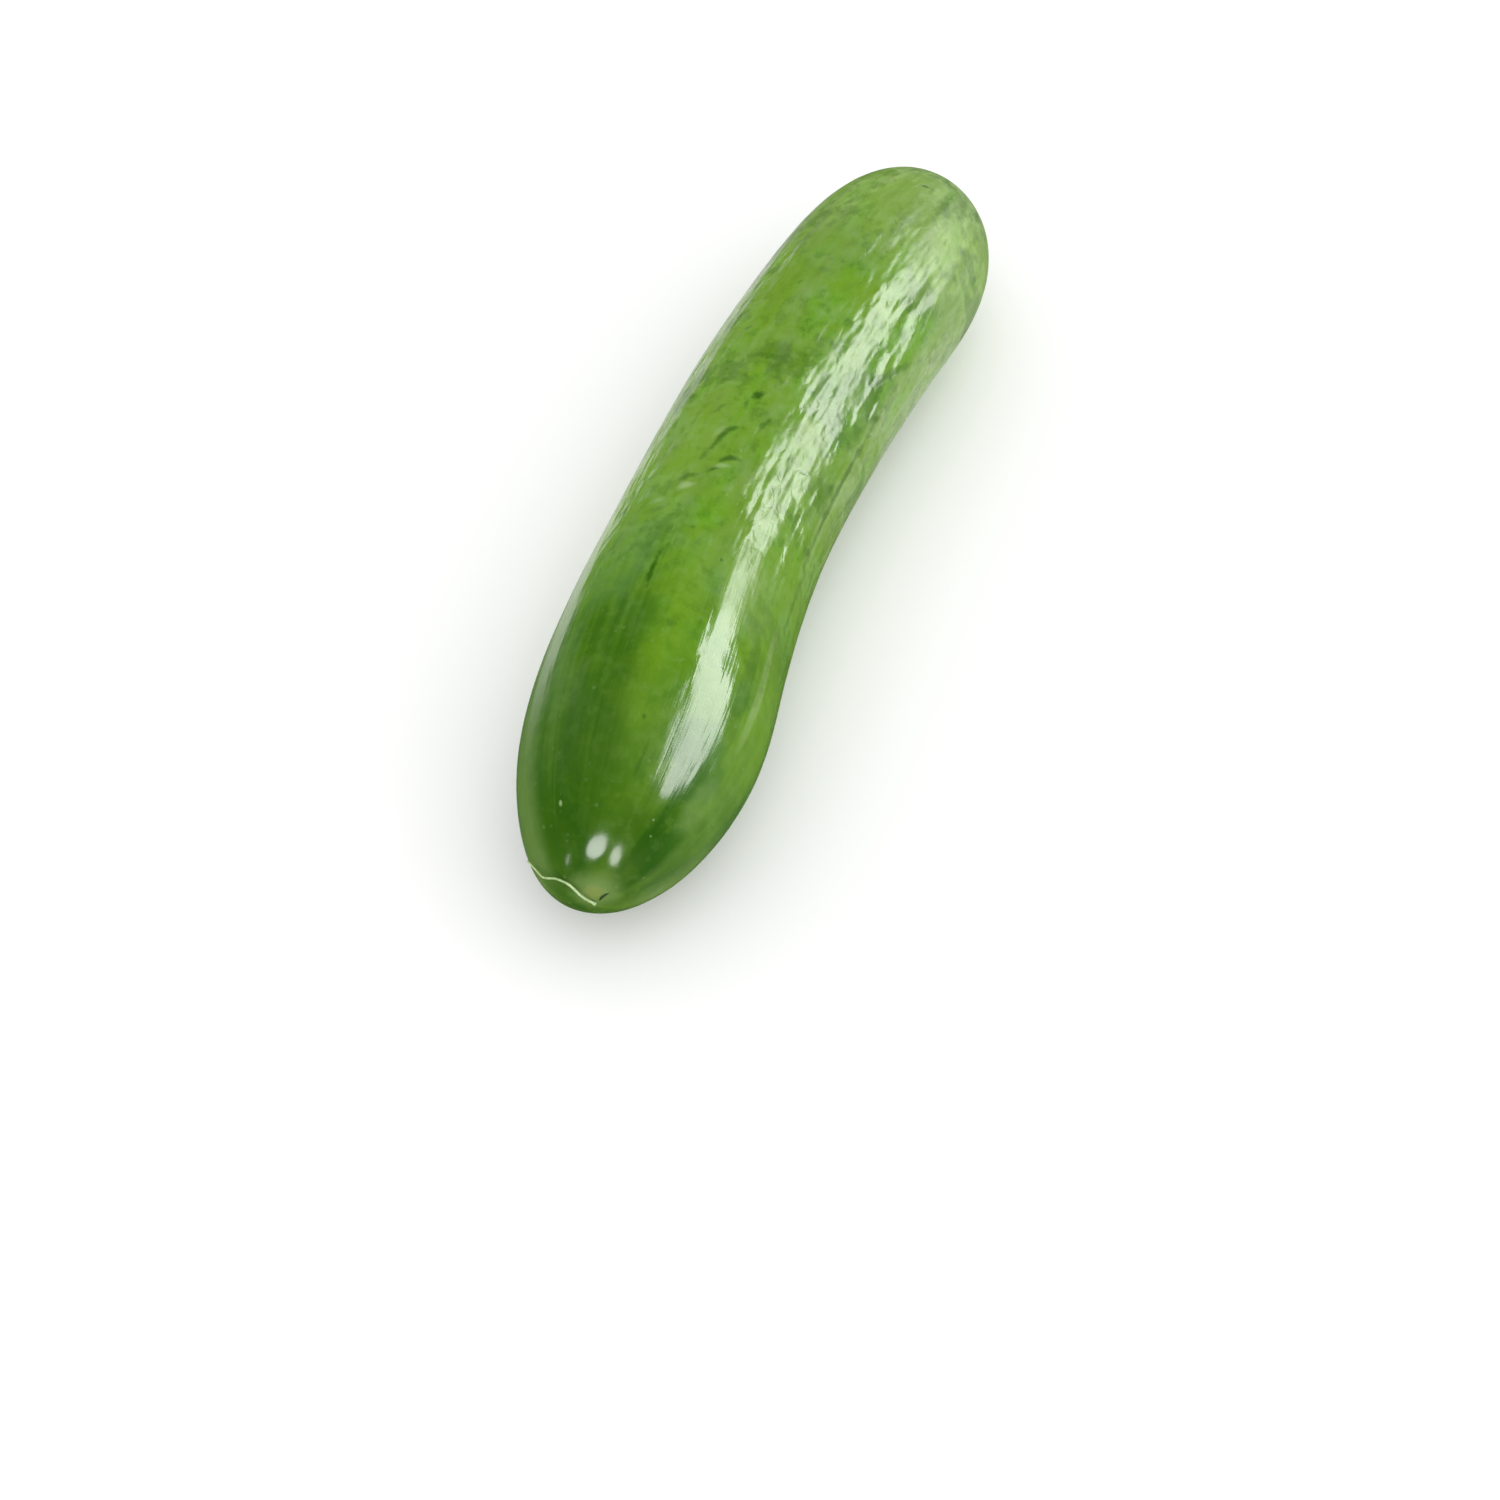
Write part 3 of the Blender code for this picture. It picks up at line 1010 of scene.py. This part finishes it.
def makeFloor():
    startPiece()
    bpy.ops.mesh.primitive_plane_add(size=studio["floorSize"], location=(0, 0, 0))
    floor = bpy.context.object
    floor.name = "paleFloor"
    made, start, surface = newMaterial("paleFloor", studio["floorSurface"])
    place = start.add("TexCoord", None, None, 3)
    ahead = start.add("SeparateXYZ", None, {0: place}, 0)
    aside = start.add("SeparateXYZ", None, {0: place}, 1)
    begins = (ahead + aside * mirroredStrip["beginSlant"]).fade(*mirroredStrip["begins"])
    ends = (ahead + aside * mirroredStrip["endSlant"]).fade(*mirroredStrip["ends"])
    bright = begins * ends * start.math("ABSOLUTE", aside).fade(*mirroredStrip["edge"])
    mirrored = start.add("LightPath", None, None, 3)
    colour = ((1 - bright) * mirrored).mixed(studio["floorColour"], mirroredStrip["darkAround"])
    feed(surface, "Base Color", colour)
    dress(floor, made)


def direction(azimuth, elevation):
    a, e = math.radians(azimuth), math.radians(elevation)
    return Vector((math.sin(a) * math.cos(e), -math.cos(a) * math.cos(e), math.sin(e)))


def addLight(name, azimuth, elevation, distance, width, height, brightness):
    low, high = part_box("cucumber_fruit")
    towards = direction(azimuth, elevation)
    lamp = bpy.data.lights.new(name, "AREA")
    lamp.shape = "ELLIPSE"
    lamp.size, lamp.size_y = width, height
    lamp.energy = brightness * math.pi * width * height
    holder = bpy.data.objects.new(name, lamp)
    bpy.context.scene.collection.objects.link(holder)
    holder.location = (low + high) / 2 + towards * distance
    holder.rotation_euler = towards.to_track_quat("Z", "Y").to_euler()
    holder.visible_camera = False
    return holder


def makeLights():
    # the bright panes are only reflected, and the pale room and the fill give the even light
    for name, settings in studio["lights"].items():
        addLight(name, *settings).visible_diffuse = False
    addLight("fill", *studio["fill"]).visible_glossy = False
    world = bpy.data.worlds.new("studio")
    bpy.context.scene.world = world
    world.use_nodes = True
    background = world.node_tree.nodes["Background"]
    background.inputs["Color"].default_value = (1, 1, 1, 1)
    background.inputs["Strength"].default_value = studio["ambient"]
    world.cycles_visibility.glossy = False


view = {
    "azimuth": -68.7,
    "elevation": 56.8,
    "distance": 0.5458,
    "fieldOfView": 26,
    "sensorWidth": 36,  # millimetres
    "target": (-31.3 * mm, -12.6 * mm, -2.6 * mm),  # the middle of the picture, below the blossom end
}


def makeCamera():
    lens = bpy.data.cameras.new("camera")
    lens.sensor_fit = "HORIZONTAL"
    lens.sensor_width = view["sensorWidth"]
    lens.angle = math.radians(view["fieldOfView"])
    camera = bpy.data.objects.new("camera", lens)
    bpy.context.scene.collection.objects.link(camera)
    away = direction(view["azimuth"], view["elevation"])
    camera.location = Vector(view["target"]) + away * view["distance"]
    camera.rotation_euler = away.to_track_quat("Z", "Y").to_euler()
    bpy.context.scene.camera = camera


makeCamera()
makeFloor()
makeLights()
bpy.context.scene.view_settings.view_transform = "Standard"
print("studio ready")

fruitSkin = makeFruit()
print("fruit modelled", len(fruitSkin.data.polygons), "faces")
driedStyle = makeThread()
print("flower thread modelled", len(driedStyle.data.polygons), "faces")

dress(fruitSkin, skinMaterial())
dress(driedStyle, strawMaterial())
print("materials made")
